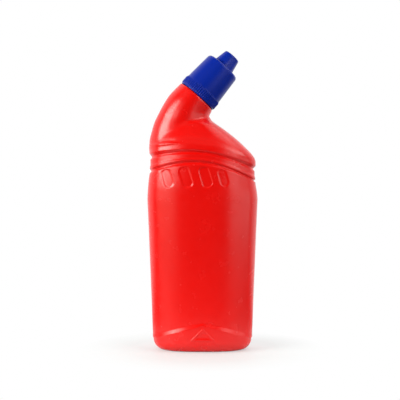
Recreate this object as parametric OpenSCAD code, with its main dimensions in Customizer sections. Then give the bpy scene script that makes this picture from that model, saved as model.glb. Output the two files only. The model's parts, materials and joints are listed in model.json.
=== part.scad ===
// Bottle with a bent neck, a pressed-in pouring nozzle and a screw cap. Millimetres, Z up.
// The body stands on z = 0 with its middle at x = 0, y = 0. The neck leans towards +X.

/* [Body] */
// Width of the body just above the heel
base_w = 78.8; // [74:0.2:84]
// Greatest width of the body
body_w = 87.8; // [84:0.2:92]
// Height of the greatest width
body_h = 119; // [112:1:124]
// Depth of the body at the heel, front to back
base_d = 50; // [44:1:56]
// Greatest depth of the body
body_d = 53; // [48:1:58]
// Squareness of the plan, where 2 is an ellipse
plan_n = 2.5; // [2.2:0.1:2.9]
// Radius of the heel
heel_r = 9; // [7:0.5:10]
// Width of the ring that the bottle stands on
stand_w = 4; // [3:0.5:6]
// Height of the dished bottom
push_up = 3; // [1.5:0.5:5]
// Thickness of the blown wall
wall = 1.1; // [0.9:0.05:1.4]

/* [Front and back] */
// Height of the chevron's point
chevron_z = 21.6; // [20:0.2:26]
// Fall of the chevron's arms, mm for each mm outward
chevron_slope = 0.3; // [0.2:0.02:0.32]
// Height of the sloped step on the chevron's arms
chevron_t = 2.8; // [1.6:0.2:3.4]
// How far the base stands proud of the panel above
chevron_step = 0.9; // [0.4:0.1:1.2]
// Side of the raised triangle
mark_side = 19; // [12:1:20]
// Height of the triangle's lower bar
mark_z = 9.6; // [9:0.2:11]
// Width of the triangle's line
mark_line = 1.3; // [0.8:0.1:1.8]
// How far the triangle stands proud
mark_t = 0.4; // [0.2:0.1:0.6]

/* [Rib band] */
// Height of the lower groove at the left side
band_left_z = 141.2; // [139:0.4:143]
// Height of the lower groove at the right side
band_right_z = 133.4; // [132:0.4:135]
// Distance from one groove to the other at the left side
band_left_t = 11.4; // [10:0.2:12]
// Distance from one groove to the other at the right side
band_right_t = 9.4; // [8.6:0.2:10]
// How far the lower groove arches up at the front and back
band_arch = 9.8; // [6:0.2:11]
// How far the upper groove arches up at the front and back
band_top_arch = 7; // [5:0.2:8]
// Depth of the grooves
groove_t = 1.2; // [0.6:0.1:1.4]
// How far the bead over the lower groove stands proud of the band
bead_t = 0.5; // [0.2:0.1:0.7]
// How far the band is narrower than the body, each side
band_in = 1.9; // [1.4:0.1:2.4]

/* [Slanted recesses] */
// Width of a recess
slot_w = 8.4; // [7:0.2:9]
// Length of a recess
slot_l = 16; // [13:0.2:17]
// Rounding of a recess's corners
slot_round = 3.2; // [2:0.1:3.4]
// Depth of a recess
slot_t = 0.5; // [0.3:0.1:0.6]
// Slant of a recess
slot_lean = 17; // [10:1:24]
// Distance between the two middle recesses
slot_pitch = 15.5; // [12:0.1:16]
// Distance from a middle recess to the end one
slot_end_pitch = 13.5; // [12:0.1:14]
// Place of the row's middle, left of the body's middle
slot_x = 5.4; // [3:0.2:8]
// Height of the row's middle
slot_z = 135.8; // [134:0.2:137]

/* [Neck] */
// Lean of the neck from upright
neck_lean = 41.2; // [38:0.2:44]
// Place of the ledge's centre, left of the body's middle
neck_x = 4.6; // [3.6:0.2:6]
// Height of the ledge's centre
neck_z = 200.6; // [199.6:0.2:203]
// Radius of the ledge
neck_r = 16.6; // [16.2:0.1:17]
// Rounding of the ledge
ledge_r = 1.4; // [0.8:0.1:2]
// Outer radius of the threaded tube
finish_r = 12.55; // [12.2:0.05:12.8]
// Radius of the bore
bore_r = 10.8; // [10.4:0.05:11]
// Height of the lip above the ledge
lip_w = 16; // [15:0.25:18]

/* [Thread] */
// Pitch of the thread
pitch = 4.2; // [3.6:0.1:4.8]
// Radius of the thread's crest on the neck
crest_r = 13.75; // [13.4:0.05:13.9]
// Turns of the thread on the neck
neck_turns = 1.5; // [1:0.25:1.75]
// Turns of the thread in the cap
cap_turns = 1.25; // [1:0.25:1.5]
// Height of the thread's start above the ledge
thread_w = 4.8; // [4.4:0.1:5.6]

/* [Cap] */
// Gap between the ledge and the cap
cap_gap = 0.35; // [0.25:0.05:1]
// Radius of the collar over its ribs
collar_r = 16.8; // [16.4:0.1:17.4]
// Height of the collar
collar_h = 7.8; // [6:0.2:9]
// Depth of the collar's ribs
rib_t = 0.35; // [0.2:0.05:0.5]
// Number of ribs round the collar
rib_count = 60; // [40:2:80]
// Radius of the barrel where it leaves the collar
barrel_r = 16; // [15.8:0.1:16.2]
// Radius of the barrel at its shoulder
barrel_top_r = 14.3; // [14:0.1:15]
// Height of the barrel's shoulder above the ledge
barrel_top_w = 33.4; // [31:0.2:36]
// Rounding of the barrel's shoulder
barrel_round = 2.6; // [1.5:0.1:3.5]
// Radius of the tip at its foot
tip_r = 8.8; // [8:0.1:9.4]
// Radius of the tip at its top
tip_top_r = 6.6; // [6:0.1:7]
// Height of the tip
tip_h = 9.8; // [8:0.2:11]
// Rounding of the tip
tip_round = 1.5; // [0.8:0.1:2]
// Thickness of the cap's wall
cap_wall = 1.3; // [1:0.1:1.5]

/* [Nozzle and seal] */
// Length of the nozzle's skirt in the bore
skirt_l = 8; // [5:0.5:10]
// Thickness of the nozzle's wall
nozzle_wall = 1.3; // [1:0.1:1.6]
// Thickness of the nozzle's flange
flange_t = 1.2; // [0.8:0.1:1.6]
// Radius of the spout's foot
spout_foot_r = 8.4; // [7.6:0.1:8.6]
// Radius of the spout at its mouth
spout_r = 2.9; // [2.6:0.1:3.4]
// Height of the spout above its flange
spout_h = 20.4; // [18:0.2:21]
// Radius of the pouring hole
hole_r = 1.6; // [1.2:0.1:1.8]
// Thickness of the seal ring
seal_t = 1.5; // [1:0.1:2]

/* [Hidden] */
// Gap between pieces that slide or turn on each other
run_gap = 0.25;
// Gap between pieces that are pressed together
seat_gap = 0.04;
// Overlap that joins solids of one piece
bite = 0.4;
// Length of the cap's pin in the pouring hole
pin_l = 1.5;
SIDES = 36;
SEG = 90;

// Shared measures
side = body_w / 2;
neck_out = [sin(neck_lean), cos(neck_lean)];
neck_across = [cos(neck_lean), -sin(neck_lean)];
neck_mid = [-neck_x, neck_z];
opening_r = (finish_r + bore_r) / 2;
flange_w = lip_w + seat_gap;
seal_w = flange_w + flange_t + seat_gap;
seat_w = seal_w + seal_t + seat_gap;
spout_w = flange_w + flange_t + spout_h;
cap_bore_r = crest_r + run_gap;

function mix(a, b, s) = a + (b - a) * s;
function ease(s) = let (c = max(0, min(1, s))) c * c * (3 - 2 * c);
// Rounded hump of height 1 that reaches 0 at a distance of 1
function hump(s) = abs(s) < 1 ? pow(1 - s * s, 2) : 0;
// Larger of two depths, with the edge between them softened over k
function soft_max(a, b, k) = max(a, b) + pow(max(0, k - abs(a - b)), 2) / (4 * k);
// Smooth path through the rows of a list, v counted in rows
function along(rows, v) =
    let (
        last = len(rows) - 1,
        i = min(floor(v), last - 1),
        s = v - i,
        p = rows[i],
        q = rows[i + 1],
        m = (q - rows[max(i - 1, 0)]) / 2,
        n = (rows[min(i + 2, last)] - p) / 2
    )
    p * (2 * s * s * s - 3 * s * s + 1) + m * (s * s * s - 2 * s * s + s)
    + q * (3 * s * s - 2 * s * s * s) + n * (s * s * s - s * s);

// Ends of the rib band, and of the ledge
band_x = side - band_in;
band_left = [-band_x, band_left_z];
band_right = [band_x, band_right_z];
top_left = band_left + [0, band_left_t];
top_right = band_right + [0, band_right_t];
half_d = body_d / 2;
ledge_mid = neck_mid - neck_out * ledge_r;
ledge_left = ledge_mid - neck_across * neck_r;
ledge_right = ledge_mid + neck_across * neck_r;
mid_arch = (band_arch + band_top_arch) / 2;

// Place on the way from one point to another, and beside it, both as shares of the distance
function beside(from, to, share, bulge) =
    let (way = to - from)
    from + way * share + [-way.y, way.x] * bulge;

// The shoulder between the band and the ledge, one row for each slice: share of the way up and bulge at
// the left, the same at the right, depth of the shoulder and its start from the left as shares of the
// body's half-depth, depth and half-length of the neck as shares of its radius, share of the arch
SHOULDER = [
    [0.10, 0.050, 0.086, 0.070, 0.932, 0.04, 1.28, 1.36, 0.80],
    [0.154, 0.069, 0.178, 0.086, 0.902, 0.11, 1.19, 1.30, 0.62],
    [0.209, 0.087, 0.329, 0.071, 0.860, 0.18, 1.11, 1.26, 0.43],
    [0.287, 0.099, 0.491, 0.043, 0.785, 0.26, 1.06, 1.23, 0.26],
    [0.366, 0.109, 0.664, -0.001, 0.702, 0.34, 1.035, 1.22, 0.13],
    [0.44, 0.114, 0.802, -0.044, 0.634, 0.42, 1.025, 1.23, 0],
    [0.496, 0.111, 0.89, -0.068, 0.506, 0.50, 1.024, 1.24, 0],
    [0.56, 0.107, 0.961, -0.064, 0.377, 0.53, 1.024, 1.21, 0],
    [0.687, 0.094, 0.98, -0.043, 0.3, 0.53, 1.024, 1.13, 0],
    [0.829, 0.067, 0.99, -0.022, 0.3, 0.53, 1.018, 1.07, 0]
];
function shoulder_slice(r) =
    let (
        left = beside(top_left, ledge_left, r[0], r[1]),
        right = beside(top_right, ledge_right, r[2], -r[3])
    )
    [left.x, left.y, right.x, right.y, r[4] * half_d, r[5] * half_d, r[6] * neck_r, r[7] * neck_r,
        r[8] * band_top_arch];

// Slices through the bottle, from the widest level up to the ledge: left x, left z, right x, right z,
// depth of the shoulder, its start from the left, depth of the neck, its half-length, arch
under_left = mix([-side, body_h], band_left, 0.64);
under_right = mix([side, body_h], band_right, 0.7);
SLICES = concat(
    [
        [-side, body_h, side, body_h, half_d, 0, 0, 1, 0],
        [-side + band_in * 0.16, mix(body_h, band_left_z, 0.32), side - band_in * 0.3,
            mix(body_h, band_right_z, 0.38), half_d, 0, 0, 1, band_arch * 0.32],
        [under_left.x - band_in * 0.15, under_left.y, under_right.x, under_right.y,
            half_d - band_in * 0.2, 0, 0, 1, band_arch * 0.68],
        [band_left.x, band_left.y, band_right.x, band_right.y, half_d - band_in * 0.37, 0, 0, 1, band_arch],
        [mix(band_left.x, top_left.x, 0.5), mix(band_left.y, top_left.y, 0.5),
            mix(band_right.x, top_right.x, 0.5), mix(band_right.y, top_right.y, 0.5),
            half_d - band_in * 0.47, 0, 0, 1, mid_arch],
        [top_left.x, top_left.y, top_right.x, top_right.y, half_d - band_in * 0.63, 0, 0, 1, band_top_arch]
    ],
    [for (r = SHOULDER) shoulder_slice(r)],
    [[ledge_left.x, ledge_left.y, ledge_right.x, ledge_right.y, neck_r / 2, neck_r, neck_r, neck_r, 0]]
);
LEDGE_ROW = len(SLICES) - 1;
// Rows of the two grooves in the list above, and their half-widths in rows; the bead ends at BEAD_ROW
GROOVE_LOW = 3;
GROOVE_TOP = 5;
GROOVE_LOW_W = 0.3;
GROOVE_TOP_W = 0.42;
BEAD_ROW = 3.5;
BEAD_FALL = 0.4;
function groove(v) =
    groove_t * hump((v - GROOVE_LOW) / GROOVE_LOW_W)
    + groove_t * hump((v - GROOVE_TOP) / GROOVE_TOP_W)
    + bead_t * ease((v - BEAD_ROW) / BEAD_FALL) * ease((GROOVE_TOP + GROOVE_TOP_W - v) / GROOVE_TOP_W);

// Places round a ring, as shares of its half-length and with the side they lie on
function spot(i) = let (a = 360 * i / SIDES) [sign(cos(a)) * pow(abs(cos(a)), 2 / plan_n), sign(sin(a))];
function bow(t, n) = abs(t) >= 1 ? 0 : pow(1 - pow(abs(t), n), 1 / n);

// One ring of points across the bottle between a left and a right point in the plane y = 0
function ring(left, right, depth, depth_n, lift) =
    [for (i = [0 : SIDES - 1])
        let (s = spot(i), p = (left + right) / 2 + (right - left) / 2 * s[0])
        [p.x, s[1] * depth * bow(s[0], depth_n), p.y + lift * cos(90 * s[0])]];

// Ring of the shoulder or neck at row v, moved inward by inset
function slice(v, inset) =
    let (
        r = along(SLICES, v),
        in = inset + groove(v),
        left = [r[0], r[1]],
        right = [r[2], r[3]],
        dir = (right - left) / norm(right - left),
        half = norm(right - left) / 2 - in,
        mid = (left + right) / 2,
        neck_half = max(1, min(r[7] - in, half)),
        shoulder_half = half - r[5] / 2
    )
    [for (i = [0 : SIDES - 1])
        let (
            s = spot(i),
            x = s[0] * half,
            neck_y = max(0, r[6] - in) * bow((x + half - neck_half) / neck_half, 2),
            shoulder_y = max(0, r[4] - in) * bow((x - r[5] / 2) / shoulder_half, plan_n),
            y = abs(s[0]) >= 1 ? 0 : v > LEDGE_ROW - 0.01 ? neck_y : soft_max(neck_y, shoulder_y, 1.5),
            p = mid + dir * x
        )
        [p.x, s[1] * (abs(s[0]) > 0.9999 ? 0 : y), p.y + r[8] * cos(90 * s[0])]];

// Ring of the straight body at height z, with the chevron's bend; rise is its place on the step's slope,
// which is lower in the middle than on the arms
function body_half(z, low, high) = mix(low, high, (z - heel_r) / (body_h - heel_r)) / 2;
function body_ring(z, bend, rise, proud, inset) =
    let (half = body_half(z, base_w, body_w) - inset)
    [for (i = [0 : SIDES - 1])
        let (
            s = spot(i),
            x = s[0] * half,
            y = (body_half(z, base_d, body_d) - inset - (1 - proud) * chevron_step) * bow(s[0], plan_n),
            fall = chevron_slope * (sqrt(x * x + 1) - 1),
            step = chevron_t * mix(0.4, 1, ease(2 * abs(s[0])))
        )
        [x, s[1] * y, z - bend * fall + rise * step]];

// Ring of the heel at angle a from straight down
function heel_ring(a, inset) =
    let (
        r = heel_r - inset,
        in = heel_r - r * sin(a),
        z = heel_r - r * cos(a)
    )
    ring([-base_w / 2 + in, z], [base_w / 2 - in, z], base_d / 2 - in, plan_n, 0);
// Ring of the dished bottom, s from the standing ring to the middle
function dish_ring(s, inset) =
    let (
        in = heel_r + stand_w + s * (base_d / 2 - heel_r - stand_w - run_gap),
        z = inset + push_up * ease(1.2 * s)
    )
    ring([-base_w / 2 + in, z], [base_w / 2 - in, z], base_d / 2 - in, plan_n, 0);
// Ring of the neck's end, at height w above the ledge
function end_ring(w, r) =
    let (mid = neck_mid + neck_out * w)
    ring(mid - neck_across * r, mid + neck_across * r, r, 2, 0);

HEEL_STEP = 18;
HEEL_RINGS = 5;
// Rows at which the outside and the inside of the shoulder have a ring
OUTER_ROWS = [
    0, 0.8, 1.5, 2.1, 2.55, 2.74, 2.9, 3, 3.1, 3.26, 3.5, 3.7, 3.9, 4.4, 4.6, 4.76, 4.9, 5, 5.1, 5.24, 5.42,
    5.7, 6, 6.4, 7, 7.5, 8, 8.6, 9.2, 9.8, 10.3, 10.8, 11.2, 11.6, 12, 12.5, 13, 13.7, 14.5, 16
];
INNER_ROWS = [0, 1.5, 2.6, 2.85, 3.15, 3.4, 4.5, 4.85, 5.15, 5.5, 6.2, 7, 8, 9.2, 10.3, 11.2, 12, 13, 14.5];
function side_rings(rows, inset) = concat(
    [for (s = [0.85, 0.5, 0]) dish_ring(s, inset)],
    [for (i = [0 : HEEL_RINGS]) heel_ring(i * HEEL_STEP, inset)],
    [
        body_ring(mix(heel_r, chevron_z, 0.5), 0.5, 0, 1, inset),
        body_ring(chevron_z, 1, 0, 1, inset),
        body_ring(chevron_z, 1, 1, 0, inset),
        body_ring(mix(chevron_z, body_h, 0.15), 0.7, 1, 0.1, inset),
        body_ring(mix(chevron_z, body_h, 0.45), 0.3, 0.5, 0.5, inset),
        body_ring(mix(chevron_z, body_h, 0.75), 0, 0, 0.9, inset)
    ],
    [for (v = rows) slice(v, inset)]
);
function flipped(rings) = [for (i = [len(rings) - 1 : -1 : 0]) rings[i]];

// Solid through a list of rings, closed by a point at each end
module skin(first, rings, last) {
    n = len(rings);
    points = concat([first], [for (r = rings) for (p = r) p], [last]);
    top = n * SIDES + 1;
    faces = concat(
        [for (i = [0 : SIDES - 1]) [0, 1 + i, 1 + (i + 1) % SIDES]],
        [for (k = [0 : n - 2])
            for (i = [0 : SIDES - 1])
                let (a = 1 + k * SIDES + i, b = 1 + k * SIDES + (i + 1) % SIDES)
                each [[a, a + SIDES, b], [b, a + SIDES, b + SIDES]]],
        [for (i = [0 : SIDES - 1])
            let (a = 1 + (n - 1) * SIDES)
            [a + (i + 1) % SIDES, a + i, top]]
    );
    polyhedron(points, faces, convexity = 12);
}

// Everything in here is turned into the neck's frame, with z up the neck from the ledge
module on_neck() {
    translate([-neck_x, 0, neck_z])
        rotate([0, neck_lean, 0])
            children();
}

// Thread ridge from radius in_r to out_r; it starts at height w and thins out at both ends
THREAD_STEP = 15;
RIDGE_W = 2;
module thread(in_r, out_r, w, turns) {
    steps = round(turns * 360 / THREAD_STEP);
    points = [for (i = [0 : steps])
        let (
            a = i * THREAD_STEP,
            h = w + pitch * a / 360,
            full = ease(4 * min(i, steps - i) / 10),
            far = mix(in_r + sign(out_r - in_r) * bite, out_r, full),
            foot = RIDGE_W / 2,
            top = RIDGE_W / 4
        )
        each [
            [in_r * cos(a), in_r * sin(a), h - foot],
            [far * cos(a), far * sin(a), h - top],
            [far * cos(a), far * sin(a), h + top],
            [in_r * cos(a), in_r * sin(a), h + foot]
        ]];
    sides = [for (i = [0 : steps - 1])
        for (j = [0 : 3])
            let (a = 4 * i + j, b = 4 * i + (j + 1) % 4)
            each [[a, b, a + 4], [b, b + 4, a + 4]]];
    ends = [[0, 2, 1], [0, 3, 2], [4 * steps, 4 * steps + 1, 4 * steps + 2],
        [4 * steps, 4 * steps + 2, 4 * steps + 3]];
    all_faces = concat(sides, ends);
    outward = out_r > in_r;
    polyhedron(points, outward ? all_faces : [for (f = all_faces) [f[0], f[2], f[1]]], convexity = 8);
}

// Shell of the bottle without its finish
module bottle_shell() {
    outer = side_rings(OUTER_ROWS, 0);
    inner = side_rings(INNER_ROWS, wall);
    turn = [for (a = [30, 60, 90]) end_ring(-ledge_r * (1 - sin(a)), neck_r - ledge_r * (1 - cos(a)))];
    end = [
        end_ring(0, opening_r),
        end_ring(-wall, opening_r),
        end_ring(-wall, neck_r - ledge_r - wall / 2)
    ];
    skin([0, 0, push_up], concat(outer, turn, end, flipped(inner)), [0, 0, push_up + wall]);
}

// Row of the slices that passes through x, z on the front
function row_at(x, z, low, high, steps) =
    let (v = (low + high) / 2, r = along(SLICES, v), s = (x - r[0]) / (r[2] - r[0]))
    steps == 0 ? v
    : mix(r[1], r[3], s) + r[8] * cos(180 * s - 90) < z ? row_at(x, z, v, high, steps - 1)
    : row_at(x, z, low, v, steps - 1);
// Depth of the front at a place under the rib band
function front_y(x, z) =
    let (r = along(SLICES, row_at(x, z, 0, GROOVE_LOW, 12)), half = (r[2] - r[0]) / 2)
    r[4] * bow((x - (r[0] + r[2]) / 2) / half, plan_n);

// One slanted recess, as the solid that is cut away
module recess(x) {
    y = front_y(x, slot_z);
    aim = atan((front_y(x - 1, slot_z) - front_y(x + 1, slot_z)) / 2);
    tip = atan((front_y(x, slot_z - 3) - front_y(x, slot_z + 3)) / 6);
    long = slot_l / 2 - slot_round;
    wide = slot_w / 2 - slot_round;
    translate([x, -y, slot_z])
        rotate([0, 0, aim])
            rotate([90 - tip, 0, 0])
                rotate([0, 0, slot_lean])
                    translate([0, 0, -slot_t])
                        linear_extrude(side)
                            union() {
                                square([slot_w, 2 * long], center = true);
                                square([2 * wide, slot_l], center = true);
                                for (i = [-1, 1])
                                    for (k = [-1, 1])
                                        translate([i * wide, k * long])
                                            circle(slot_round, $fn = SEG);
                            }
}
// Places of the recesses along the row
SLOT_PLACES = [
    -slot_pitch / 2 - slot_end_pitch,
    -slot_pitch / 2,
    slot_pitch / 2,
    slot_pitch / 2 + slot_end_pitch
];

// Raised outline of a triangle on the base
module mark() {
    y = base_d / 2;
    tall = mark_side * 0.5;
    wide = mark_side / 2;
    thin = mark_line;
    translate([0, -y + wall / 2, mark_z])
        rotate([90, 0, 0])
            linear_extrude(wall / 2 + mark_t)
                difference() {
                    polygon([[-wide, 0], [wide, 0], [0, tall]]);
                    polygon([[-wide + 2.6 * thin, thin], [wide - 2.6 * thin, thin], [0, tall - 1.25 * thin]]);
                }
}

module bottle() {
    color([0.9, 0.07, 0.06])
        union() {
            difference() {
                bottle_shell();
                for (x = SLOT_PLACES) {
                    recess(x - slot_x);
                    rotate([0, 0, 180])
                        recess(x + slot_x);
                }
            }
            mark();
            on_neck() {
                difference() {
                    translate([0, 0, -wall - bite])
                        cylinder(h = lip_w + wall + bite, r = finish_r, $fn = SEG);
                    translate([0, 0, -wall - 2 * bite])
                        cylinder(h = lip_w + wall + 4 * bite, r = bore_r, $fn = SEG);
                }
                thread(finish_r - bite, crest_r, thread_w, neck_turns);
            }
        }
}

module nozzle() {
    skirt_r = bore_r - seat_gap;
    flange_r = finish_r - run_gap;
    top = flange_w + flange_t;
    neck_w = top + spout_h * 0.45;
    neck_wide = spout_r + nozzle_wall * 0.7;
    color([0.94, 0.94, 0.92])
        on_neck()
            rotate_extrude($fn = SEG)
                polygon([
                    [skirt_r, flange_w - skirt_l],
                    [skirt_r, flange_w],
                    [flange_r, flange_w],
                    [flange_r, top],
                    [spout_foot_r, top],
                    [neck_wide, neck_w],
                    [spout_r, spout_w],
                    [hole_r, spout_w],
                    [hole_r, spout_w - spout_h / 4],
                    [neck_wide - nozzle_wall, neck_w - nozzle_wall],
                    [spout_foot_r - nozzle_wall, flange_w],
                    [skirt_r - nozzle_wall, flange_w - nozzle_wall],
                    [skirt_r - nozzle_wall, flange_w - skirt_l]
                ]);
}

module seal_ring() {
    color([0.92, 0.92, 0.9])
        on_neck()
            translate([0, 0, seal_w])
                rotate_extrude($fn = SEG)
                    translate([spout_foot_r + run_gap, 0])
                        square([cap_bore_r - 2 * run_gap - spout_foot_r, seal_t]);
}

// Places on a rounded corner of radius r about a centre, from angle a0 to a1
CORNER_STEPS = 4;
function corner(x, y, r, a0, a1) =
    [for (i = [0 : CORNER_STEPS])
        let (a = mix(a0, a1, i / CORNER_STEPS))
        [x + r * cos(a), y + r * sin(a)]];

module cap_turned() {
    foot = cap_gap + collar_h;
    tip_top = barrel_top_w + tip_h;
    barrel_lean = atan((barrel_r - barrel_top_r) / (barrel_top_w - foot));
    tip_lean = atan((tip_r - tip_top_r) / tip_h);
    sleeve_r = (spout_foot_r + cap_bore_r) / 2;
    in_top_r = barrel_top_r - cap_wall;
    pin_w = spout_w - pin_l;
    rotate_extrude($fn = SEG)
        polygon(concat(
            [
                [cap_bore_r, cap_gap],
                [collar_r - rib_t, cap_gap],
                [collar_r - rib_t, foot],
                [barrel_r, foot]
            ],
            corner(barrel_top_r - barrel_round, barrel_top_w - barrel_round, barrel_round, barrel_lean, 84),
            [[tip_r, barrel_top_w]],
            corner(tip_top_r - tip_round, tip_top - tip_round, tip_round, tip_lean, 84),
            [
                [0, tip_top + seat_gap],
                [0, pin_w],
                [hole_r - run_gap, pin_w],
                [hole_r - run_gap, tip_top - cap_wall],
                [tip_top_r - cap_wall, tip_top - cap_wall],
                [tip_r - cap_wall, barrel_top_w - cap_wall],
                [sleeve_r - cap_wall / 2, barrel_top_w - cap_wall],
                [sleeve_r - cap_wall / 2, seat_w],
                [sleeve_r + cap_wall / 2, seat_w],
                [sleeve_r + cap_wall / 2, barrel_top_w - cap_wall],
                [in_top_r - cap_wall / 2, barrel_top_w - cap_wall],
                [in_top_r, barrel_top_w - barrel_round],
                [cap_bore_r - run_gap, seat_w],
                [cap_bore_r, seat_w - cap_wall]
            ]
        ));
}

// Outline of the ribbed collar
function rib_outline() = [for (i = [0 : 4 * rib_count - 1])
    let (a = 360 * i / (4 * rib_count), r = i % 4 < 2 ? collar_r : collar_r - 1.2 * rib_t)
    [r * cos(a), r * sin(a)]];

module cap() {
    color([0.03, 0.16, 0.6])
        on_neck()
            union() {
                cap_turned();
                translate([0, 0, cap_gap + 0.5])
                    linear_extrude(collar_h - 0.9)
                        difference() {
                            polygon(rib_outline());
                            circle(collar_r - 1.5, $fn = SEG);
                        }
                thread(cap_bore_r + bite, finish_r + run_gap, thread_w - RIDGE_W * 0.75 - run_gap, cap_turns);
            }
}

bottle();
nozzle();
seal_ring();
cap();
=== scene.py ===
"""Looks of the drain cleaner bottle: a red blow-moulded bottle with a bent neck and a blue screw cap.

Lengths in the shape functions are millimetres, in the CAD frame: +Z up, the neck leans to +X, the front looks
along -Y. Meshes are made in metres.
"""

import json
import math

import bmesh
import bpy
import numpy as np
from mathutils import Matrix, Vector


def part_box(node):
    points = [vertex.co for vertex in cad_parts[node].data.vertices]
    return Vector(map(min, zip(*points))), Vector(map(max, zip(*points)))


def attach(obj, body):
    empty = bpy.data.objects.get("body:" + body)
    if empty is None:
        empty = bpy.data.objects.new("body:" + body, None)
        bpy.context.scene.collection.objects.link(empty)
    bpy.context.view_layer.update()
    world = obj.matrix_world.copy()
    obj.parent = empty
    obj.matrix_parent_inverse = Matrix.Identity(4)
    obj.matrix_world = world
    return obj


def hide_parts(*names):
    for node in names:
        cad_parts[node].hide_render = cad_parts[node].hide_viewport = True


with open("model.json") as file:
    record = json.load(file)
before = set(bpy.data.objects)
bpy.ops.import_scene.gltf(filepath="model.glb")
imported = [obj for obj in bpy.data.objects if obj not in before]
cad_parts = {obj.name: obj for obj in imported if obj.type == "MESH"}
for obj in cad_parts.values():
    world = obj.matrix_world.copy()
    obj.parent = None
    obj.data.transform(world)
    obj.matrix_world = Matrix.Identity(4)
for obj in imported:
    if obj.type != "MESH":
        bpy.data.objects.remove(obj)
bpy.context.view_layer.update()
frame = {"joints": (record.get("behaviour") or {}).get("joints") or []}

MM = 0.001

# Measures taken from the frame
BOTTLE_LOW, BOTTLE_HIGH = (np.array(c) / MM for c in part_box("bottle"))
SIDE = (BOTTLE_HIGH[0] - BOTTLE_LOW[0]) / 2
HALF_DEPTH = (BOTTLE_HIGH[1] - BOTTLE_LOW[1]) / 2
TURN = next(j for j in frame["joints"] if j["name"] == "cap_turn")
NECK_MID = np.array([TURN["pos_m"][0], TURN["pos_m"][2]]) / MM
NECK_OUT = np.array([TURN["axis"][0], TURN["axis"][2]])
NECK_OUT = NECK_OUT / np.linalg.norm(NECK_OUT)
NECK_ACROSS = np.array([NECK_OUT[1], -NECK_OUT[0]])

# Body
BASE_HALF = 39.0
BASE_HALF_DEPTH = 25.0
BODY_H = 119.0
PLAN_N = 2.5
HEEL_R = 9.0
STAND_W = 4.0
PUSH_UP = 3.0
WALL = 1.1
DISH_STEEP = 1.2
SEAM_T = 0.12
SEAM_W = 0.45

# Chevron, triangle and slanted recesses
CHEVRON_Z = 21.6
CHEVRON_SLOPE = 0.3
CHEVRON_BLUNT = 1.0
CHEVRON_T = 2.8
CHEVRON_MID_SHARE = 0.4
CHEVRON_STEP = 0.9
MARK_SIDE = 19.0
MARK_Z = 9.6
MARK_LINE = 1.5
MARK_EDGE = 0.6
MARK_T = 0.4
SLOT_ROUND = 3.2
SLOT_EDGE = 0.8
SLOT_LEAN = math.radians(17)
SLOT_SPREAD = 0.1
SLOT_X = 5.4
SLOT_Z = 135.8

# Recesses on the front from the left: place in the row, width, length, drop and depth. The back has them
# mirrored.
SLOTS = (
    (-21.85, 7.2, 14.4, 0.7, 0.45),
    (-7.45, 7.9, 16.0, 0.0, 0.45),
    (7.75, 7.8, 16.0, 0.0, 0.40),
    (21.25, 6.2, 13.2, 0.6, 0.30),
)

# Fade of the chevron on the way up the panel: share of the way, bend, rise on the step's slope, how proud it is
PANEL_FADE = np.array((
    (0.00, 1.0, 1.0, 0.0),
    (0.15, 0.7, 1.0, 0.1),
    (0.45, 0.3, 0.5, 0.5),
    (0.75, 0.0, 0.0, 0.9),
    (1.00, 0.0, 0.0, 1.0),
)).T

# Rib band
BAND_LEFT_Z = 141.2
BAND_RIGHT_Z = 133.4
BAND_LEFT_T = 11.4
BAND_RIGHT_T = 9.4
BAND_ARCH = 9.8
BAND_TOP_ARCH = 7.0
BAND_IN = 1.9
GROOVE_T = 1.2
BEAD_T = 0.5

# Slices between the body and the band: share of the way up and inset at the left, the same at the right, inset
# of the depth and share of the arch. Insets are shares of BAND_IN.
WAIST = (
    (0.32, 0.16, 0.38, 0.30, 0.0, 0.32),
    (0.64, 0.49, 0.70, 0.70, 0.2, 0.68),
)

# Insets of the depth at the band's lower edge, middle and upper edge, as shares of BAND_IN
BAND_DEPTH_IN = (0.37, 0.47, 0.63)

# Rows of the two grooves among the slices, their half-widths in rows, and the bead's upper edge
GROOVE_LOW, GROOVE_TOP = 3, 5
GROOVE_LOW_W, GROOVE_TOP_W = 0.3, 0.42
BEAD_ROW, BEAD_FALL = 3.5, 0.4

# Rings along the slices, as (row, number of rings that lead to it); the outside goes on to the ledge
OUTSIDE_ROWS = ((0.7, 3), (2.6, 36), (3.6, 22), (4.5, 10), (5.5, 20), (7.0, 12), (14.0, 40))
INSIDE_ROWS = ((5.6, 16), (4.6, 4), (3.4, 3), (2.6, 4), (0.0, 3))
INSIDE_TOP_ROW = 14.5
LEDGE_RINGS = 11

# Spots of a ring: fine ones as (mm from the middle, number), coarse ones up to the parting line, and those
# beside the line as shares of its width
FINE_SPOTS = ((12.0, 24), (34.0, 36))
COARSE_SPOTS = 21
SEAM_SPOTS = (2.2, 1.0, 0.45)
CAP_SPOTS_PER_RIB = 6
PLAIN_SPOTS = 120

# Neck, thread and closure, as heights w above the ledge and radii about the neck's axis
NECK_R = 16.6
NECK_BLEND = 1.5
LEDGE_R = 1.4
FINISH_R = 12.55
BORE_R = 10.8
LIP_W = 16.0
LIP_ROUND = 0.5
PITCH = 4.2
CREST_R = 13.75
THREAD_W = 4.8
NECK_THREAD = (3.4, 12.8)
CAP_THREAD = (1.4, 11.4)
THREAD_RINGS = 30
NECK_TURNS = 1.5
CAP_TURNS = 1.25
RIDGE_W = 2.0
RUN_GAP = 0.25
SEAT_GAP = 0.04
CAP_GAP = 0.35
COLLAR_R = 16.8
COLLAR_H = 7.8
RIB_T = 0.5
RIB_COUNT = 60
RIB_FADE = 0.7
BARREL_R = 16.0
BARREL_TOP_R = 14.3
BARREL_TOP_W = 32.2
BARREL_ROUND = 3.2
TIP_R = 8.8
TIP_TOP_R = 6.6
TIP_H = 11.0
TIP_ROUND = 1.5
CAP_WALL = 1.3
CAP_BORE_R = CREST_R + RUN_GAP
PIN_L = 1.5
SKIRT_L = 8.0
NOZZLE_WALL = 1.3
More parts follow.
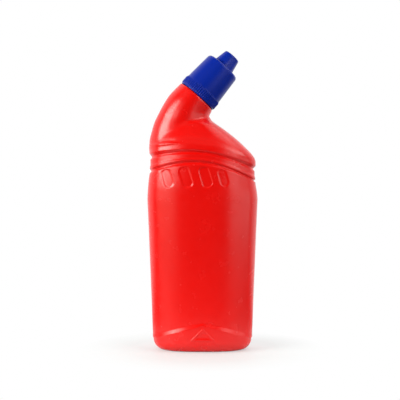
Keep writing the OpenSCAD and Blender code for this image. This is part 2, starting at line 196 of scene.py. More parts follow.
FLANGE_T = 1.2
SPOUT_FOOT_R = 8.4
SPOUT_R = 2.9
SPOUT_H = 20.4
HOLE_R = 1.6
SEAL_T = 1.5
FLANGE_W = LIP_W + SEAT_GAP
SEAL_W = FLANGE_W + FLANGE_T + SEAT_GAP
SEAT_W = SEAL_W + SEAL_T + SEAT_GAP
SPOUT_W = FLANGE_W + FLANGE_T + SPOUT_H


def mix(a, b, s):
    return a + (b - a) * s


def ease(s):
    s = np.clip(s, 0.0, 1.0)
    return s * s * (3 - 2 * s)


def hump(s):
    """Rounded hump of height 1 that reaches 0 at a distance of 1."""
    return max(0.0, 1 - s * s) ** 2


def soft_max(a, b, k):
    """Larger of two depths, with the edge between them softened over k."""
    return np.maximum(a, b) + np.maximum(0, k - np.abs(a - b)) ** 2 / (4 * k)


def bow(t, n):
    return np.maximum(0, 1 - np.minimum(np.abs(t), 1) ** n) ** (1 / n)


def steps(start, *stops):
    """Values from stop to stop, where each stop is (value, number of steps that lead to it)."""
    out = [start]
    for value, count in stops:
        out += list(np.linspace(out[-1], value, count + 1)[1:])
    return [float(v) for v in out]


# Slices through the shoulder and neck


def beside(start, end, share, bulge):
    """Place on the way from one point to another, and beside it, both as shares of the distance."""
    way = end - start
    return start + way * share + np.array([-way[1], way[0]]) * bulge


# Slices from the band to the ledge: share of the way up and bulge at the left, the same at the right, depth of
# the shoulder and its start from the left as shares of the body's half-depth, depth and half-length of the neck
# as shares of its radius, share of the arch
SHOULDER = (
    (0.10, 0.050, 0.086, 0.070, 0.932, 0.04, 1.28, 1.36, 0.80),
    (0.154, 0.069, 0.178, 0.086, 0.902, 0.11, 1.19, 1.30, 0.62),
    (0.209, 0.087, 0.329, 0.071, 0.860, 0.18, 1.11, 1.26, 0.43),
    (0.287, 0.099, 0.491, 0.043, 0.785, 0.26, 1.06, 1.23, 0.26),
    (0.366, 0.109, 0.664, -0.001, 0.702, 0.34, 1.035, 1.22, 0.13),
    (0.44, 0.114, 0.802, -0.044, 0.634, 0.42, 1.025, 1.23, 0),
    (0.496, 0.111, 0.89, -0.068, 0.506, 0.50, 1.024, 1.24, 0),
    (0.56, 0.107, 0.961, -0.064, 0.377, 0.53, 1.024, 1.21, 0),
    (0.687, 0.094, 0.98, -0.043, 0.3, 0.53, 1.024, 1.13, 0),
    (0.829, 0.067, 0.99, -0.022, 0.3, 0.53, 1.018, 1.07, 0),
)


def slices():
    """Rows of left x, z, right x, z, shoulder depth and start, neck depth and half-length, arch."""
    band_x = SIDE - BAND_IN
    band_left, band_right = np.array([-band_x, BAND_LEFT_Z]), np.array([band_x, BAND_RIGHT_Z])
    top_left, top_right = band_left + [0, BAND_LEFT_T], band_right + [0, BAND_RIGHT_T]
    ledge = NECK_MID - NECK_OUT * LEDGE_R
    ledge_left, ledge_right = ledge - NECK_ACROSS * NECK_R, ledge + NECK_ACROSS * NECK_R
    low_in, mid_in, top_in = BAND_DEPTH_IN
    mid_arch = (BAND_ARCH + BAND_TOP_ARCH) / 2

    def body_slice(left, right, inward, arch):
        return [*left, *right, HALF_DEPTH - BAND_IN * inward, 0, 0, 1, arch]

    rows = [body_slice((-SIDE, BODY_H), (SIDE, BODY_H), 0, 0)]
    for left_up, left_in, right_up, right_in, inward, arch in WAIST:
        left = (-SIDE + BAND_IN * left_in, mix(BODY_H, BAND_LEFT_Z, left_up))
        right = (SIDE - BAND_IN * right_in, mix(BODY_H, BAND_RIGHT_Z, right_up))
        rows.append(body_slice(left, right, inward, BAND_ARCH * arch))
    rows.append(body_slice(band_left, band_right, low_in, BAND_ARCH))
    rows.append(body_slice((band_left + top_left) / 2, (band_right + top_right) / 2, mid_in, mid_arch))
    rows.append(body_slice(top_left, top_right, top_in, BAND_TOP_ARCH))
    for left_up, left_out, right_up, right_out, deep, start, neck_deep, neck_half, arch in SHOULDER:
        left = beside(top_left, ledge_left, left_up, left_out)
        right = beside(top_right, ledge_right, right_up, -right_out)
        rows.append([*left, *right, deep * HALF_DEPTH, start * HALF_DEPTH,
                     neck_deep * NECK_R, neck_half * NECK_R, arch * BAND_TOP_ARCH])
    rows.append([*ledge_left, *ledge_right, NECK_R / 2, NECK_R, NECK_R, NECK_R, 0])
    return np.array(rows)


SLICES = slices()
LEDGE_ROW = len(SLICES) - 1


def along(v):
    """Row of the slices at v, on a smooth cubic path through them."""
    i = min(int(v), LEDGE_ROW - 1)
    s = v - i
    p, q = SLICES[i], SLICES[i + 1]
    m = (q - SLICES[max(i - 1, 0)]) / 2
    n = (SLICES[min(i + 2, LEDGE_ROW)] - p) / 2
    return (p * (2 * s**3 - 3 * s**2 + 1) + m * (s**3 - 2 * s**2 + s)
            + q * (3 * s**2 - 2 * s**3) + n * (s**3 - s**2))


def groove(v):
    """How far the two grooves and the band over the bead lie inward at row v."""
    low = GROOVE_T * hump((v - GROOVE_LOW) / GROOVE_LOW_W)
    top = GROOVE_T * hump((v - GROOVE_TOP) / GROOVE_TOP_W)
    band = ease((v - BEAD_ROW) / BEAD_FALL) * ease((GROOVE_TOP + GROOVE_TOP_W - v) / GROOVE_TOP_W)
    return low + top + BEAD_T * float(band)


# Rings of the bottle. Spots are (share of the half-length, side of the ring) pairs.


def plan_spots():
    """Spots that lie closest at the front and back, and beside the parting line at both ends."""
    fine = np.array(steps(0.0, *FINE_SPOTS)) / SIDE
    t = np.linspace(fine[-1], 1, 2000)
    x, y = SIDE * t, HALF_DEPTH * bow(t, PLAN_N)
    run = np.concatenate([[0], np.cumsum(np.hypot(np.diff(x), np.diff(y)))])
    seam = run[-1] - SEAM_W * np.array(SEAM_SPOTS)
    places = np.concatenate([np.linspace(0, seam[0], COARSE_SPOTS)[1:], seam[1:], [run[-1]]])
    quarter = np.concatenate([fine, np.interp(places, run, t)])
    back = quarter[::-1]
    shares = np.concatenate([back[:-1], -quarter[:-1], -back[:-1], quarter[:-1]])
    sides = np.repeat([-1.0, -1.0, 1.0, 1.0], len(quarter) - 1)
    return np.column_stack([shares, sides])


def slice_ring(v, inset, spots):
    """Ring of the shoulder or neck at row v, moved inward by inset."""
    row = along(v)
    left, right = row[0:2], row[2:4]
    deep, start, neck_deep, neck_half, arch = row[4:]
    inward = inset + groove(v)
    half = np.linalg.norm(right - left) / 2 - inward
    neck_half = max(1.0, min(neck_half - inward, half))
    x = spots[:, 0] * half
    neck_y = max(0.0, neck_deep - inward) * bow((x + half - neck_half) / neck_half, 2)
    shoulder_y = max(0.0, deep - inward) * bow((x - start / 2) / (half - start / 2), PLAN_N)
    y = neck_y if v > LEDGE_ROW - 0.01 else soft_max(neck_y, shoulder_y, NECK_BLEND)
    y = np.where(np.abs(spots[:, 0]) > 0.9999, 0.0, y)
    p = (left + right) / 2 + x[:, None] * (right - left) / np.linalg.norm(right - left)
    return np.column_stack([p[:, 0], spots[:, 1] * y, p[:, 1] + arch * np.cos(np.pi / 2 * spots[:, 0])])


def body_half(z, low, high):
    return mix(low, high, (z - HEEL_R) / (BODY_H - HEEL_R))


def body_ring(z, bend, rise, proud, inset, spots):
    """Ring of the straight body, bent along the chevron; rise is its place on the step's slope."""
    half = body_half(z, BASE_HALF, SIDE) - inset
    x = spots[:, 0] * half
    deep = body_half(z, BASE_HALF_DEPTH, HALF_DEPTH) - inset - (1 - proud) * CHEVRON_STEP
    fall = CHEVRON_SLOPE * (np.sqrt(x**2 + CHEVRON_BLUNT**2) - CHEVRON_BLUNT)
    step = CHEVRON_T * mix(CHEVRON_MID_SHARE, 1, ease(2 * np.abs(spots[:, 0])))
    return np.column_stack([x, spots[:, 1] * deep * bow(spots[:, 0], PLAN_N), z - bend * fall + rise * step])


def panel_ring(share, inset, spots):
    """Ring of the panel above the chevron, where the step fades out on the way up."""
    bend, rise, proud = (np.interp(share, PANEL_FADE[0], row) for row in PANEL_FADE[1:])
    return body_ring(mix(CHEVRON_Z, BODY_H, share), bend, rise, proud, inset, spots)


def flat_ring(inward, z, spots):
    x = (BASE_HALF - inward) * spots[:, 0]
    y = (BASE_HALF_DEPTH - inward) * bow(spots[:, 0], PLAN_N) * spots[:, 1]
    return np.column_stack([x, y, np.full(len(spots), z)])


def heel_ring(angle, inset, spots):
    r = HEEL_R - inset
    return flat_ring(HEEL_R - r * math.sin(angle), HEEL_R - r * math.cos(angle), spots)


def dish_ring(share, inset, spots):
    inward = HEEL_R + STAND_W + share * (BASE_HALF_DEPTH - HEEL_R - STAND_W - RUN_GAP)
    return flat_ring(inward, inset + PUSH_UP * float(ease(DISH_STEEP * share)), spots)


def neck_ring(w, r, spots):
    """Ring about the neck's axis; r may change from spot to spot."""
    x = spots[:, 0] * r
    y = spots[:, 1] * np.sqrt(np.maximum(0, 1 - spots[:, 0] ** 2)) * r
    p = NECK_MID + NECK_OUT * w + x[:, None] * NECK_ACROSS
    return np.column_stack([p[:, 0], y, p[:, 1]])


def round_spots(count):
    """Spots round a circle at even angles."""
    a = 2 * np.pi * np.arange(count) / count
    return np.column_stack([np.cos(a), np.where(np.sin(a) < 0, -1.0, 1.0)])


def angle_of(spots):
    return np.arctan2(spots[:, 1] * np.sqrt(np.maximum(0, 1 - spots[:, 0] ** 2)), spots[:, 0]) % (2 * np.pi)


def thread_height(angle, w, start, turns):
    """Height of a thread ridge, from 0 to 1, at an angle and a height w; it thins out at both ends."""
    out = np.zeros_like(angle)
    for k in range(-1, int(turns) + 2):
        run = angle / (2 * np.pi) + k
        full = ease(5 * run) * ease(5 * (turns - run))
        side = ease((RIDGE_W * 0.55 - np.abs(w - start - PITCH * run)) / (RIDGE_W * 0.3))
        out = np.maximum(out, full * side)
    return out


# Relief on the outside of the bottle


def slot_depth(p):
    """Depth of the four slanted recesses on the front and the four on the back."""
    face = np.sign(p[..., 1])
    out = np.zeros(face.shape)
    for front, back in zip(SLOTS, reversed(SLOTS)):
        place = np.where(face < 0, front[0], -back[0])
        width, length, drop, depth = (np.where(face < 0, f, b) for f, b in zip(front[1:], back[1:]))
        centre = place + face * SLOT_X
        spread = 1 + SLOT_SPREAD * (centre / SIDE) ** 2
        dx, dz = (-face * p[..., 0] - centre) * spread, p[..., 2] - SLOT_Z + drop
        u = np.abs(dx * math.cos(SLOT_LEAN) + dz * math.sin(SLOT_LEAN)) - width / 2 + SLOT_ROUND
        w = np.abs(-dx * math.sin(SLOT_LEAN) + dz * math.cos(SLOT_LEAN)) - length / 2 + SLOT_ROUND
        gap = np.hypot(np.maximum(u, 0), np.maximum(w, 0)) + np.minimum(np.maximum(u, w), 0) - SLOT_ROUND
        out = np.maximum(out, depth * ease(0.5 - gap / SLOT_EDGE))
    return out * np.abs(face)


def mark_height(p):
    """Height of the triangle's raised outline on the front of the base."""
    half = MARK_SIDE / 2
    z = p[..., 2] - MARK_Z
    side = (half - np.abs(p[..., 0]) - z) * math.sqrt(0.5)
    inside = np.minimum(side, z)
    line = ease((MARK_LINE - inside) / MARK_EDGE + 0.5) * ease(inside / MARK_EDGE + 0.5)
    return MARK_T * line * (p[..., 1] < 0)


def seam_height(p):
    """Height of the fine parting line of the two mould halves, above the heel."""
    return SEAM_T * np.clip(1 - np.abs(p[..., 1]) / SEAM_W, 0, 1) * ease((p[..., 2] - HEEL_R / 2) / HEEL_R)


def outward(rings):
    """Unit normals of a stack of rings."""
    up = np.gradient(rings, axis=0)
    way = (np.roll(rings, -1, axis=1) - np.roll(rings, 1, axis=1)) / 2
    n = np.cross(way, up)
    n /= np.maximum(np.linalg.norm(n, axis=2, keepdims=True), 1e-9)
    middle = rings.mean(axis=1, keepdims=True)
    return n if np.sum(n * (rings - middle)) > 0 else -n


# Meshes


def skin(name, stacks, first=None, last=None):
    """Piece through stacks of rings, in metres. A stack may have a third of the spots of the one before it.

    An end with a point is closed there; a piece without end points joins its last ring to its first."""
    points, faces, rows = [], [], []
    for stack in stacks:
        for ring in stack:
            rows.append((len(points), len(ring)))
            points += list(ring)
    pairs = list(zip(rows[:-1], rows[1:]))
    if first is None:
        pairs.append((rows[-1], rows[0]))
    for (a, count), (b, other) in pairs:
        for i in range(other):
            j = (i + 1) % other
            if count == other:
                faces.append((a + i, a + j, b + j, b + i))
            else:
                o = [a + (3 * i + k) % count for k in range(4)]
                faces += [(o[0], o[1], b + i), (o[1], o[2], b + j, b + i), (o[2], o[3], b + j)]
    if first is not None:
        for point, (a, count) in ((first, rows[0]), (last, rows[-1])):
            points.append(np.array(point))
            faces += [(len(points) - 1, a + (i + 1) % count, a + i) for i in range(count)]
    mesh = bpy.data.meshes.new(name)
    mesh.from_pydata([tuple(np.asarray(p) * MM) for p in points], [], faces)
    build = bmesh.new()
    build.from_mesh(mesh)
    bmesh.ops.recalc_face_normals(build, faces=build.faces)
    build.to_mesh(mesh)
    build.free()
    mesh.shade_smooth()
    piece = bpy.data.objects.new(name, mesh)
    bpy.context.scene.collection.objects.link(piece)
    return piece


def rounded(profile):
    """Profile of (radius, height, rounding) corners as a list of points, with each corner rounded."""
    out = []
    for i, (x, w, r) in enumerate(profile):
        here = np.array([x, w])
        if r <= 0 or i in (0, len(profile) - 1):
            out.append(here)
            continue
        before, after = np.array(profile[i - 1][:2]) - here, np.array(profile[i + 1][:2]) - here
        lb, la = np.linalg.norm(before), np.linalg.norm(after)
        bend = math.acos(np.clip(before @ after / (lb * la), -1, 1))
        back = min(r / math.tan(bend / 2), 0.48 * lb, 0.48 * la)
        start, stop = here + before / lb * back, here + after / la * back
        for s in np.linspace(0, 1, 9 if r > 1 else 5):
            out.append((1 - s) ** 2 * start + 2 * s * (1 - s) * here + s**2 * stop)
    return out


def turned(profile, spots):
    return [neck_ring(w, r, spots) for r, w in rounded(profile)]


def on_axis(w):
    p = NECK_MID + NECK_OUT * w
    return (p[0], 0, p[1])


def dress(piece, stands_for, body, material):
    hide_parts(stands_for)
    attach(piece, body)
    piece.data.materials.append(material)


def bottle_outside(spots):
    rows = [dish_ring(s, 0, spots) for s in steps(1.0, (0.0, 7))]
    rows += [heel_ring(a, 0, spots) for a in steps(0.0, (math.pi / 2, 10))]
    for z in steps(HEEL_R, (CHEVRON_Z, 26))[1:]:
        rows.append(body_ring(z, (z - HEEL_R) / (CHEVRON_Z - HEEL_R), 0, 1, 0, spots))
    for rise in (0.07, 0.5, 0.93, 1.0):
        rows.append(body_ring(CHEVRON_Z, 1, rise, 1 - rise, 0, spots))
    rows += [panel_ring(s, 0, spots) for s in steps(0.0, (0.006, 1), (0.15, 5), (0.98, 15))[1:]]
    rows += [slice_ring(v, 0, spots) for v in steps(0.0, *OUTSIDE_ROWS, (LEDGE_ROW, LEDGE_RINGS))]
    rings = np.array(rows)
    relief = mark_height(rings) - slot_depth(rings) + seam_height(rings)
    return list(rings + outward(rings) * relief[..., None])


def bottle_finish(spots):
    """Rounded ledge, threaded tube and lip."""
    rings = []
    for a in steps(0.2, (math.pi / 2, 6)):
        rings.append(neck_ring(-LEDGE_R * (1 - math.sin(a)), NECK_R - LEDGE_R * (1 - math.cos(a)), spots))
    for s in (0.5, 0.97):
        rings.append(neck_ring(0, mix(NECK_R - LEDGE_R, FINISH_R, s), spots))
    angle = angle_of(spots)
    straight = LIP_W - LIP_ROUND
    for w in steps(0.3, (NECK_THREAD[0], 2), (NECK_THREAD[1], THREAD_RINGS), (straight, 2)):
        height = thread_height(angle, w, THREAD_W, NECK_TURNS)
        rings.append(neck_ring(w, mix(FINISH_R, CREST_R, height), spots))
    for a in steps(0.3, (math.pi / 2, 4)):
        r = FINISH_R - LIP_ROUND * (1 - math.cos(a))
        rings.append(neck_ring(straight + LIP_ROUND * math.sin(a), r, spots))
    return rings


def bottle_inside(spots):
    rings = [neck_ring(LIP_W, BORE_R + 0.25, spots)]
    rings += [neck_ring(w, BORE_R, spots) for w in (LIP_W - 0.25, LIP_W / 2, 1.0, -WALL)]
    rings.append(neck_ring(-WALL, NECK_R - LEDGE_R - WALL / 2, spots))
    rings += [slice_ring(v, WALL, spots) for v in steps(INSIDE_TOP_ROW, *INSIDE_ROWS)]
    rings += [panel_ring(s, WALL, spots) for s in (0.75, 0.45, 0.15, 0.0)]
    rings.append(body_ring(CHEVRON_Z, 1, 0, 1, WALL, spots))
    rings.append(body_ring(mix(HEEL_R, CHEVRON_Z, 0.5), 0.5, 0, 1, WALL, spots))
    rings += [heel_ring(a, WALL, spots) for a in steps(math.pi / 2, (0.0, 5))]
    rings += [dish_ring(s, WALL, spots) for s in (0.0, 0.5, 0.85)]
    return rings


def build_bottle(material):
    spots = plan_spots()
    stacks = [bottle_outside(spots) + bottle_finish(spots), bottle_inside(spots[::3])]
    piece = skin("bottle_shell", stacks, (0, 0, PUSH_UP), (0, 0, PUSH_UP + WALL))
    dress(piece, "bottle", "bottle", material)


def build_cap(material):
    spots = round_spots(RIB_COUNT * CAP_SPOTS_PER_RIB)
    angle = angle_of(spots)
    rib = ease(0.35 + 0.75 * np.cos(RIB_COUNT * angle))
    foot = CAP_GAP + COLLAR_H
    plain_r = COLLAR_R - RIB_T
    tip = BARREL_TOP_W + TIP_H
    barrel = turned([
        (0.5, tip + SEAT_GAP, 0),
        (TIP_TOP_R, tip, TIP_ROUND),
        (TIP_R, BARREL_TOP_W, 0.5),
        (BARREL_TOP_R, BARREL_TOP_W, BARREL_ROUND),
        (BARREL_R, foot + 0.7, 0.5),
        (BARREL_R, foot, 0.2),
        (plain_r, foot, 0.25),
        (plain_r, foot - 0.4, 0),
    ], spots)
    collar = []
    for w in steps(foot - 0.6, (foot - 1.1, 4), (CAP_GAP + 1.3, 6), (CAP_GAP + 0.8, 4)):
        rise = ease((foot - 0.5 - w) / RIB_FADE) * ease((w - CAP_GAP - 0.7) / RIB_FADE)
        collar.append(neck_ring(w, plain_r + RIB_T * rib * float(rise), spots))
    lower_edge = turned([
        (plain_r, CAP_GAP + 0.6, 0),
        (plain_r, CAP_GAP, 0.3),
        (CAP_BORE_R, CAP_GAP, 0.3),
        (CAP_BORE_R, CAP_GAP + 0.5, 0),
    ], spots)
    bore = []
    for w in steps(CAP_THREAD[0], (CAP_THREAD[1], THREAD_RINGS)):
        height = thread_height(angle, w, THREAD_W - RIDGE_W * 0.75 - RUN_GAP, CAP_TURNS)
        bore.append(neck_ring(w, mix(CAP_BORE_R, FINISH_R + RUN_GAP, height), spots))
    sleeve_in = (SPOUT_FOOT_R + CAP_BORE_R - CAP_WALL) / 2
    sleeve_out = sleeve_in + CAP_WALL
    roof = BARREL_TOP_W - CAP_WALL
    inside = turned([
        (CAP_BORE_R, SEAT_W - CAP_WALL, 0),
        (CAP_BORE_R - RUN_GAP, SEAT_W, 0.5),
        (BARREL_TOP_R - CAP_WALL, roof, 1.0),
        (sleeve_out, roof, 0.4),
        (sleeve_out, SEAT_W, 0.2),
        (sleeve_in, SEAT_W, 0.2),
        (sleeve_in, roof, 0.4),
        (TIP_R - CAP_WALL, roof, 0.5),
        (TIP_TOP_R - CAP_WALL, tip - CAP_WALL, 0.5),
        (HOLE_R - RUN_GAP, tip - CAP_WALL, 0.3),
        (HOLE_R - RUN_GAP, SPOUT_W - PIN_L, 0.3),
        (0.3, SPOUT_W - PIN_L, 0),
    ], spots[::3])
    piece = skin("screw_cap", [barrel + collar + lower_edge + bore, inside], on_axis(tip + SEAT_GAP),
                 on_axis(SPOUT_W - PIN_L))
    dress(piece, "cap", "cap", material)


def build_nozzle(material):
    skirt = BORE_R - SEAT_GAP
    flange = FINISH_R - RUN_GAP
    top = FLANGE_W + FLANGE_T
    waist_w = top + SPOUT_H * 0.45
    waist_r = SPOUT_R + NOZZLE_WALL * 0.7
    rings = turned([
        (skirt - NOZZLE_WALL / 2, FLANGE_W - SKIRT_L, 0),
        (skirt, FLANGE_W - SKIRT_L, 0.3),
        (skirt, FLANGE_W, 0.1),
        (flange, FLANGE_W, 0.2),
        (flange, top, 0.3),
        (SPOUT_FOOT_R, top, 0.6),
        (waist_r, waist_w, 2.0),
        (SPOUT_R, SPOUT_W, 0.4),
        (HOLE_R, SPOUT_W, 0.3),
        (HOLE_R, SPOUT_W - SPOUT_H / 4, 0.3),
        (waist_r - NOZZLE_WALL, waist_w - NOZZLE_WALL, 1.0),
        (SPOUT_FOOT_R - NOZZLE_WALL, FLANGE_W, 0.6),
        (skirt - NOZZLE_WALL, FLANGE_W - NOZZLE_WALL, 0.5),
        (skirt - NOZZLE_WALL, FLANGE_W - SKIRT_L, 0.3),
        (skirt - NOZZLE_WALL * 0.6, FLANGE_W - SKIRT_L, 0),
    ], round_spots(PLAIN_SPOTS))
    dress(skin("pour_nozzle", [rings]), "nozzle", "bottle", material)


def build_seal(material):
    inner, outer = SPOUT_FOOT_R + RUN_GAP, CAP_BORE_R - RUN_GAP
    middle = (inner + outer) / 2
    rings = turned([
        (middle, SEAL_W, 0),
        (outer, SEAL_W, 0.25),
        (outer, SEAL_W + SEAL_T, 0.25),
        (inner, SEAL_W + SEAL_T, 0.25),
        (inner, SEAL_W, 0.25),
        (middle - 0.5, SEAL_W, 0),
    ], round_spots(PLAIN_SPOTS))
    dress(skin("seal_washer", [rings]), "seal_ring", "seal", material)


# Materials


class Nodes:
    """Short way to add and join the nodes of a material or world."""

    def __init__(self, owner):
        owner.use_nodes = True
        self.owner = owner
        self.tree = owner.node_tree

    def add(self, kind, **values):
        node = self.tree.nodes.new(kind)
        for key, value in values.items():
            node.inputs[key.replace("_", " ")].default_value = value
        return node

    def link(self, source, target):
        self.tree.links.new(source, target)

    def noise(self, where, scale, detail):
        node = self.add("ShaderNodeTexNoise", Scale=scale, Detail=detail)
        self.link(where, node.inputs["Vector"])
        return node.outputs[0]

    def map(self, source, low, high, first, second):
        """Takes the range from low to high to the range from first to second."""
        node = self.add("ShaderNodeMapRange", From_Min=low, From_Max=high, To_Min=first, To_Max=second)
        self.link(source, node.inputs["Value"])
        return node.outputs["Result"]

    def math(self, operation, first, second):
        node = self.tree.nodes.new("ShaderNodeMath")
        node.operation = operation
        self.link(first, node.inputs[0])
        self.link(second, node.inputs[1])
        return node.outputs[0]

    def ramp(self, source, first, second):
        """Goes from one colour to the other over the middle stretch of a noise."""
        node = self.tree.nodes.new("ShaderNodeValToRGB")
        stops = node.color_ramp.elements
        stops[0].position, stops[1].position = NOISE_LOW, NOISE_HIGH
        stops[0].color, stops[1].color = (*first, 1), (*second, 1)
        self.link(source, node.inputs["Fac"])
        return node.outputs["Color"]

    def bump(self, height, strength, distance, below=None):
        node = self.add("ShaderNodeBump", Strength=strength, Distance=distance)
        self.link(height, node.inputs["Height"])
        if below is not None:
            self.link(below, node.inputs["Normal"])
        return node.outputs["Normal"]


# Noise scales per metre, the middle stretch of the noise that is used, the depths of wave and grain in metres,
# and how far the roughness goes up and down
TONE_SCALE, WAVE_SCALE, GRAIN_SCALE = 25.0, 140.0, 1400.0
NOISE_LOW, NOISE_HIGH = 0.3, 0.7
WAVE_DEPTH, GRAIN_DEPTH = 0.0004, 0.00005
ROUGH_CHANGE = 0.03
PLASTIC_IOR = 1.5


def moulded_plastic(name, colour, second, rough, wave, grain, specular=0.5):
    """Moulded plastic: slow changes of tone and gloss, a slightly wavy skin and a fine grain."""
    n = Nodes(bpy.data.materials.new(name))
    shader = n.tree.nodes["Principled BSDF"]
    where = n.tree.nodes.new("ShaderNodeTexCoord").outputs["Object"]
    slow = n.noise(where, TONE_SCALE, 1.0)
    middle = n.noise(where, WAVE_SCALE, 2.0)
    fine = n.noise(where, GRAIN_SCALE, 1.0)
    gloss = n.map(middle, NOISE_LOW, NOISE_HIGH, rough - ROUGH_CHANGE, rough + ROUGH_CHANGE)
    n.link(n.ramp(slow, colour, second), shader.inputs["Base Color"])
    n.link(gloss, shader.inputs["Roughness"])
    skin_wave = n.bump(middle, wave, WAVE_DEPTH)
    n.link(n.bump(fine, grain, GRAIN_DEPTH, skin_wave), shader.inputs["Normal"])
    shader.inputs["IOR"].default_value = PLASTIC_IOR
    shader.inputs["Specular IOR Level"].default_value = specular
    return n


def soft_light(n, weight, radius, scale):
    """Lets some light travel under the skin."""
    shader = n.tree.nodes["Principled BSDF"]
    shader.inputs["Subsurface Weight"].default_value = weight
    shader.inputs["Subsurface Radius"].default_value = radius
    shader.inputs["Subsurface Scale"].default_value = scale


red = moulded_plastic("bottle_red", (0.80, 0.0026, 0.0010), (0.78, 0.0022, 0.0008), 0.25, 0.02, 0.08)
blue = moulded_plastic("cap_blue", (0.0004, 0.0185, 0.31), (0.0004, 0.0165, 0.29), 0.33, 0.03, 0.05, 0.20)
natural = moulded_plastic("nozzle_natural", (0.80, 0.80, 0.76), (0.76, 0.76, 0.72), 0.38, 0.1, 0.2)
soft_light(natural, 0.15, (1.0, 0.9, 0.8), 0.002)
foam = moulded_plastic("seal_white", (0.78, 0.78, 0.75), (0.72, 0.72, 0.69), 0.7, 0.3, 1.0)

build_bottle(red.owner)
build_cap(blue.owner)
build_nozzle(natural.owner)
build_seal(foam.owner)


# Studio, in metres and degrees

LAMPS_AIM = Vector((0, 0, 0.12))
LAMPS_AWAY = 1.0
KEY_TINT = (1.0, 0.97, 0.92)
FILL_TINT = (1.0, 0.97, 0.93)

# Name, azimuth from the front to +X, elevation, width, height, radiance and tint
SOFTBOXES = (
    ("key", -61, 22, 0.62, 0.44, 12.0, KEY_TINT),
    ("key_front", -35, 14, 0.34, 0.18, 6.3, KEY_TINT),
    ("left_low", -52, -2, 0.90, 0.32, 0.9, (1.0, 0.86, 0.66)),
    ("right_low", 58, 0, 1.14, 0.40, 1.6, FILL_TINT),
    ("right_high", 60, 33, 0.70, 0.45, 4.6, FILL_TINT),
    ("right_front", 36, 16, 0.40, 0.20, 2.3, FILL_TINT),
    ("front_top", 0, 44, 0.60, 0.40, 0.25, (1.0, 0.93, 0.82)),
    ("right_top", 90, 62, 0.60, 0.50, 1.5, FILL_TINT),
)

# Strength of the room's light in front of the object and behind it, the directions along Y between which it
# changes, and those between which the plain white comes in
ROOM_FRONT, ROOM_BACK = 0.03, 1.3
ROOM_CHANGE = (-0.1, 0.5)
ROOM_WHITE = (0.0, 0.4)

# Floor: half its side, its tone by the object and further out, where that change starts and ends, the places
# along Y between which the plain white comes in for reflections, how much of the object's shadow shows, and how
# far from the middle the shadow stays at that
FLOOR_HALF = 3.0
FLOOR_TONE, FLOOR_DARK = (0.72, 0.79, 0.795), (0.07, 0.07, 0.07)
FLOOR_NEAR, FLOOR_FAR = 0.10, 0.16
FLOOR_WHITE = (0.05, 0.25)
FLOOR_ROUGH = 0.6
SHADOW_SHARE, SHADOW_REACH = 0.56, 0.06

CAMERA_AT = (-0.0020, -0.70, 0.1183)
CAMERA_SPAN = 0.3192
SENSOR_WIDTH = 36.0


def softbox(name, azimuth, elevation, width, height, radiance, tint):
    """Rectangular light of a plain radiance, aimed at the bottle's middle."""
    a, e = math.radians(azimuth), math.radians(elevation)
    toward = Vector((math.sin(a) * math.cos(e), -math.cos(a) * math.cos(e), math.sin(e)))
    light = bpy.data.lights.new(name, "AREA")
    light.shape = "RECTANGLE"
    light.size, light.size_y = width, height
    light.energy = radiance * math.pi * width * height
    light.color = tint
    lamp = bpy.data.objects.new(name, light)
    lamp.location = LAMPS_AIM + toward * LAMPS_AWAY
    lamp.rotation_euler = toward.to_track_quat("Z", "Y").to_euler()
    bpy.context.scene.collection.objects.link(lamp)


def seen_white(n, behind):
    """Share of the plain white background in what a ray sees.

    It is 1 for the camera. Reflections and light that comes through take the share that is given for behind."""
    rays = n.tree.nodes.new("ShaderNodeLightPath")
    mirrored = n.math("ADD", rays.outputs["Is Glossy Ray"], rays.outputs["Is Transmission Ray"])
    return n.math("MAXIMUM", rays.outputs["Is Camera Ray"], n.math("MULTIPLY", mirrored, behind))


def set_world():
    """Room that is dim in front of the object and bright behind it, with a white background."""
    world = bpy.data.worlds.new("studio")
    bpy.context.scene.world = world
    n = Nodes(world)
    room = n.tree.nodes["Background"]
    room.inputs["Color"].default_value = (1, 1, 1, 1)
    split = n.tree.nodes.new("ShaderNodeSeparateXYZ")
    n.link(n.tree.nodes.new("ShaderNodeTexCoord").outputs["Generated"], split.inputs[0])
    n.link(n.map(split.outputs["Y"], *ROOM_CHANGE, ROOM_FRONT, ROOM_BACK), room.inputs["Strength"])
    white = n.add("ShaderNodeBackground", Color=(1, 1, 1, 1), Strength=1.0)
    choose = n.tree.nodes.new("ShaderNodeMixShader")
    n.link(seen_white(n, n.map(split.outputs["Y"], *ROOM_WHITE, 0.0, 1.0)), choose.inputs[0])
    n.link(room.outputs[0], choose.inputs[1])
    n.link(white.outputs[0], choose.inputs[2])
    n.link(choose.outputs[0], n.tree.nodes["World Output"].inputs["Surface"])


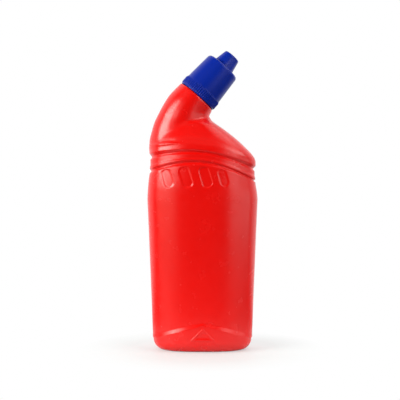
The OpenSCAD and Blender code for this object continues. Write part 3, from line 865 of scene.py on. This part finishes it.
def build_floor():
    """Pale floor that lights the object only from close by.

    It grows dark further out, where the background's white shows instead. The object's shadow stays."""
    corners = [(x * FLOOR_HALF, y * FLOOR_HALF, 0) for x, y in ((-1, -1), (1, -1), (1, 1), (-1, 1))]
    mesh = bpy.data.meshes.new("floor")
    mesh.from_pydata(corners, [], [(0, 1, 2, 3)])
    floor = bpy.data.objects.new("floor", mesh)
    bpy.context.scene.collection.objects.link(floor)
    n = Nodes(bpy.data.materials.new("floor_white"))
    shader = n.tree.nodes["Principled BSDF"]
    shader.inputs["Roughness"].default_value = FLOOR_ROUGH
    where = n.tree.nodes.new("ShaderNodeTexCoord").outputs["Object"]
    away = n.tree.nodes.new("ShaderNodeVectorMath")
    away.operation = "LENGTH"
    n.link(where, away.inputs[0])
    change = n.map(away.outputs["Value"], FLOOR_NEAR, FLOOR_FAR, NOISE_LOW, NOISE_HIGH)
    n.link(n.ramp(change, FLOOR_TONE, FLOOR_DARK), shader.inputs["Base Color"])
    split = n.tree.nodes.new("ShaderNodeSeparateXYZ")
    n.link(where, split.inputs[0])
    plain = n.map(away.outputs["Value"], SHADOW_REACH, FLOOR_NEAR, 1 - SHADOW_SHARE, 1.0)
    seen = n.math("MULTIPLY", plain, seen_white(n, n.map(split.outputs["Y"], *FLOOR_WHITE, 0.0, 1.0)))
    glow = n.add("ShaderNodeEmission", Color=(1, 1, 1, 1))
    choose = n.tree.nodes.new("ShaderNodeMixShader")
    n.link(seen, choose.inputs[0])
    n.link(shader.outputs[0], choose.inputs[1])
    n.link(glow.outputs[0], choose.inputs[2])
    n.link(choose.outputs[0], n.tree.nodes["Material Output"].inputs["Surface"])
    mesh.materials.append(n.owner)


def build_camera():
    """Level camera in front of the bottle, as in the photograph."""
    data = bpy.data.cameras.new("camera")
    data.sensor_width = SENSOR_WIDTH
    data.lens = SENSOR_WIDTH * -CAMERA_AT[1] / CAMERA_SPAN
    camera = bpy.data.objects.new("camera", data)
    camera.location = CAMERA_AT
    camera.rotation_euler = (math.pi / 2, 0, 0)
    bpy.context.scene.collection.objects.link(camera)
    bpy.context.scene.camera = camera


build_camera()
set_world()
build_floor()
for box in SOFTBOXES:
    softbox(*box)

bpy.context.scene.view_settings.view_transform = "Standard"
